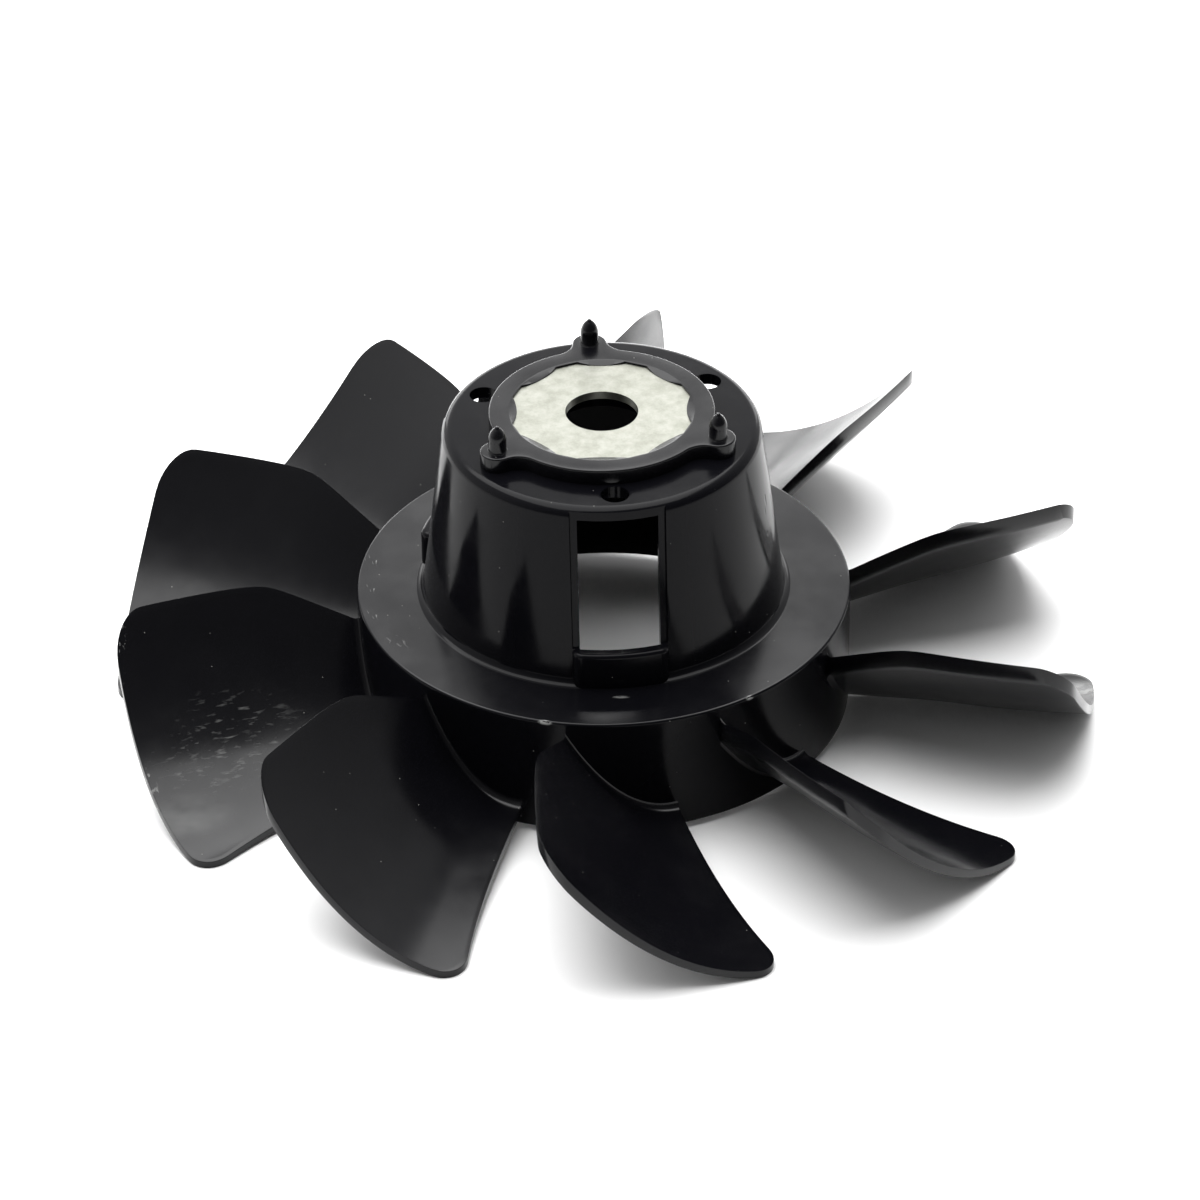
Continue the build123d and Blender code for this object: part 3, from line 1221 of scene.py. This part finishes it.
@dataclass
class LocatingPins:
    """Three locating pins on the ears: a straight stem, a rounded nose and a small nib.

    The nib's arc is in degrees, and foot_hollow is the share of the fillet left at its middle.
    """

    count: int = 3
    start: float = 90.0
    circle: float = 22.4
    radius: float = 1.6
    straight: float = 2.2
    height: float = 4.9
    nib_radius: float = 0.45
    nib_height: float = 0.35
    nib_arc: Pair = (20.0, 88.0)
    foot_fillet: float = 0.25
    foot_hollow: float = 0.3
    foot_sunk: float = 0.05
    sunk: float = 0.8
    nose_rows: int = 12
    nib_rows: int = 6
    around: int = 48

    def build(self, ring: RingTree, collar_z: float, material: Material) -> Object:
        """Builds the pins.

        Args:
            ring: Tree that repeats the pin.
            collar_z: Height of the collar's top above the floor in millimetres.
            material: Finish of the pins.

        Returns:
            The pins as one plain mesh.
        """
        shoulder = self.height - self.nib_height
        across = self.radius - self.nib_radius
        curve = (across**2 + (shoulder - self.straight) ** 2) / (2 * across)
        lean = degrees(acos((curve - across) / curve))
        hollow = self.foot_fillet * self.foot_hollow
        nib_z = self.height - self.nib_radius
        side = [
            (self.radius, -self.sunk),
            (self.radius + self.foot_fillet, -self.foot_sunk),
            (self.radius + hollow, hollow),
            (self.radius, self.foot_fillet),
            *arc((self.radius - curve, self.straight), curve, 0, lean, self.nose_rows),
            *arc((0, nib_z), self.nib_radius, *self.nib_arc, self.nib_rows),
        ]
        centre = (self.circle, 0)
        layers = [(collar_z + z, circle(centre, reach, self.around)) for reach, z in side]
        piece = Maker.stacked("locating_pins", layers)
        Maker.shade(piece)
        ring.repeat(piece, self.count, self.start, material)
        return piece


@dataclass(frozen=True)
class Softbox:
    """Soft rectangular light, in millimetres and watts, that faces the hub or its own aim."""

    name: str
    place: Place
    size: Pair
    power: float
    aim: Place | None = None


@dataclass
class Studio:
    """White studio sheet, soft lights and the camera.

    Lengths are in millimetres and angles in degrees. The focal length and the offset count in
    pixels of a square frame that is image_side pixels wide.
    """

    flange_z: float
    azimuth: float = 84.7
    elevation: float = 34.299
    roll: float = -0.6
    distance: float = 1037.35
    image_side: float = 1200.0
    focal_pixels: float = 5761.453
    offset_pixels: Pair = (3.552, -18.726)
    sensor: float = 36.0
    clip_range: Pair = (50.0, 20000.0)
    floor_side: float = 6000.0
    bright_side: float = 110.0
    bright_wall: float = 1.6
    dim_wall: float = 0.15
    wall_blend: Pair = (-0.8, 0.9)
    softboxes: tuple[Softbox, ...] = (
        Softbox("top_softbox", (-60, 240, 1070), (1300, 1300), 27),
        Softbox("back_softbox", (110, 1270, 320), (1500, 350), 6),
        Softbox("backdrop_light", (60, 450, 560), (900, 300), 40, aim=(90, 1300, 0)),
    )

    def camera(self) -> Object:
        """Sets the scene's camera.

        Returns:
            The camera.
        """
        level = radians(self.elevation)
        ahead = Vector((*polar(cos(level), self.azimuth), -sin(level)))
        right = ahead.cross(Vector((0, 0, 1))).normalized()
        up = right.cross(ahead)
        lean = radians(-self.roll)
        side = right * cos(lean) - up * sin(lean)
        above = up * cos(lean) + right * sin(lean)
        place = Vector((0, 0, self.flange_z)) - ahead * self.distance
        data = bpy.data.cameras.new("camera")
        data.sensor_width = self.sensor
        data.lens = self.focal_pixels * self.sensor / self.image_side
        data.shift_x = -self.offset_pixels[0] / self.image_side
        data.shift_y = self.offset_pixels[1] / self.image_side
        data.clip_start, data.clip_end = (reach * MM for reach in self.clip_range)
        camera = linked("camera", data)
        turn = Matrix((side, above, -ahead)).transposed().to_4x4()
        camera.matrix_world = Matrix.Translation(place * MM) @ turn
        bpy.context.scene.camera = camera
        return camera

    def hang(self, box: Softbox) -> None:
        """Hangs a softbox and turns it to its aim.

        Args:
            box: The softbox.
        """
        data = bpy.data.lights.new(box.name, "AREA")
        data.shape = "RECTANGLE"
        data.size, data.size_y = box.size[0] * MM, box.size[1] * MM
        data.energy = box.power
        light = linked(box.name, data)
        ahead = Vector(box.place) - Vector(box.aim or (0.0, 0.0, self.flange_z))
        light.rotation_mode = "QUATERNION"
        light.rotation_quaternion = ahead.to_track_quat("Z", "Y")
        light.location = Vector(box.place) * MM

    def build(self) -> None:
        """Lays the floor, hangs the lights and sets the camera and the white surroundings."""
        scene = bpy.context.scene
        half = self.floor_side / 2
        corners = [(-half, -half, 0.0), (half, -half, 0.0), (half, half, 0.0), (-half, half, 0.0)]
        floor = Maker.new_object("floor", corners, [[0, 1, 2, 3]])
        floor.data.materials.append(StudioWhite().material("matt_white_paper"))
        world = bpy.data.worlds.new("white_surround")
        world.use_nodes = True
        world.node_tree.nodes.clear()
        add = partial(add_node, world.node_tree)
        direction = add("ShaderNodeTexCoord").outputs["Generated"]
        toward = add(
            "ShaderNodeVectorMath",
            {"operation": "DOT_PRODUCT", 1: (*polar(1.0, self.bright_side), 0.0)},
            {0: direction},
        )
        level = add(
            "ShaderNodeMapRange",
            {
                "interpolation_type": "SMOOTHSTEP",
                "From Min": self.wall_blend[0],
                "From Max": self.wall_blend[1],
                "To Min": self.dim_wall,
                "To Max": self.bright_wall,
            },
            {"Value": toward.outputs["Value"]},
        )
        glow = add("ShaderNodeBackground", {"Color": (1, 1, 1, 1)}, {"Strength": level})
        add("ShaderNodeOutputWorld", links={"Surface": glow})
        scene.world = world
        for box in self.softboxes:
            self.hang(box)
        scene.view_settings.view_transform = "Standard"
        self.camera()


def dress(piece: Object) -> None:
    """Ties a piece of the moulding to the frame and reports it.

    Args:
        piece: The object, which stands for the moulding's CAD node.
    """
    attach(piece, "root")
    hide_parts(MOULDING_NODE)
    log.info("%s: %d faces", piece.name, len(piece.data.polygons))


def main() -> None:
    """Builds the moulding, gives the insert its finish and sets the studio."""
    logging.basicConfig(level=logging.INFO, format="%(name)s: %(message)s")
    insert_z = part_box(INSERT_NODE)[0].z / MM
    collar = Collar()
    collar_z = insert_z + collar.insert_thickness + collar.lip_depth
    flange_z = collar_z - collar.height - collar.face_level
    nylon = BlackNylon().material("moulded_black_nylon", MARKS)
    ring = RingTree()
    polished = BlackNylon(roughness=0.14, specular=0.075).material("polished_black_nylon", MARKS)
    dress(HubShell().build(ring, flange_z, nylon, polished))
    dress(collar.build(insert_z, nylon))
    dress(LocatingPins().build(ring, collar_z, nylon))
    dress(BladeRing().build(ring, flange_z, nylon))
    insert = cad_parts[INSERT_NODE]
    insert.data.materials.clear()
    insert.data.materials.append(InsertSteel().material("passivated_sheet_steel"))
    log.info("%s: %d faces, from the frame", insert.name, len(insert.data.polygons))
    Studio(flange_z).build()


if __name__ == "__main__":
    main()
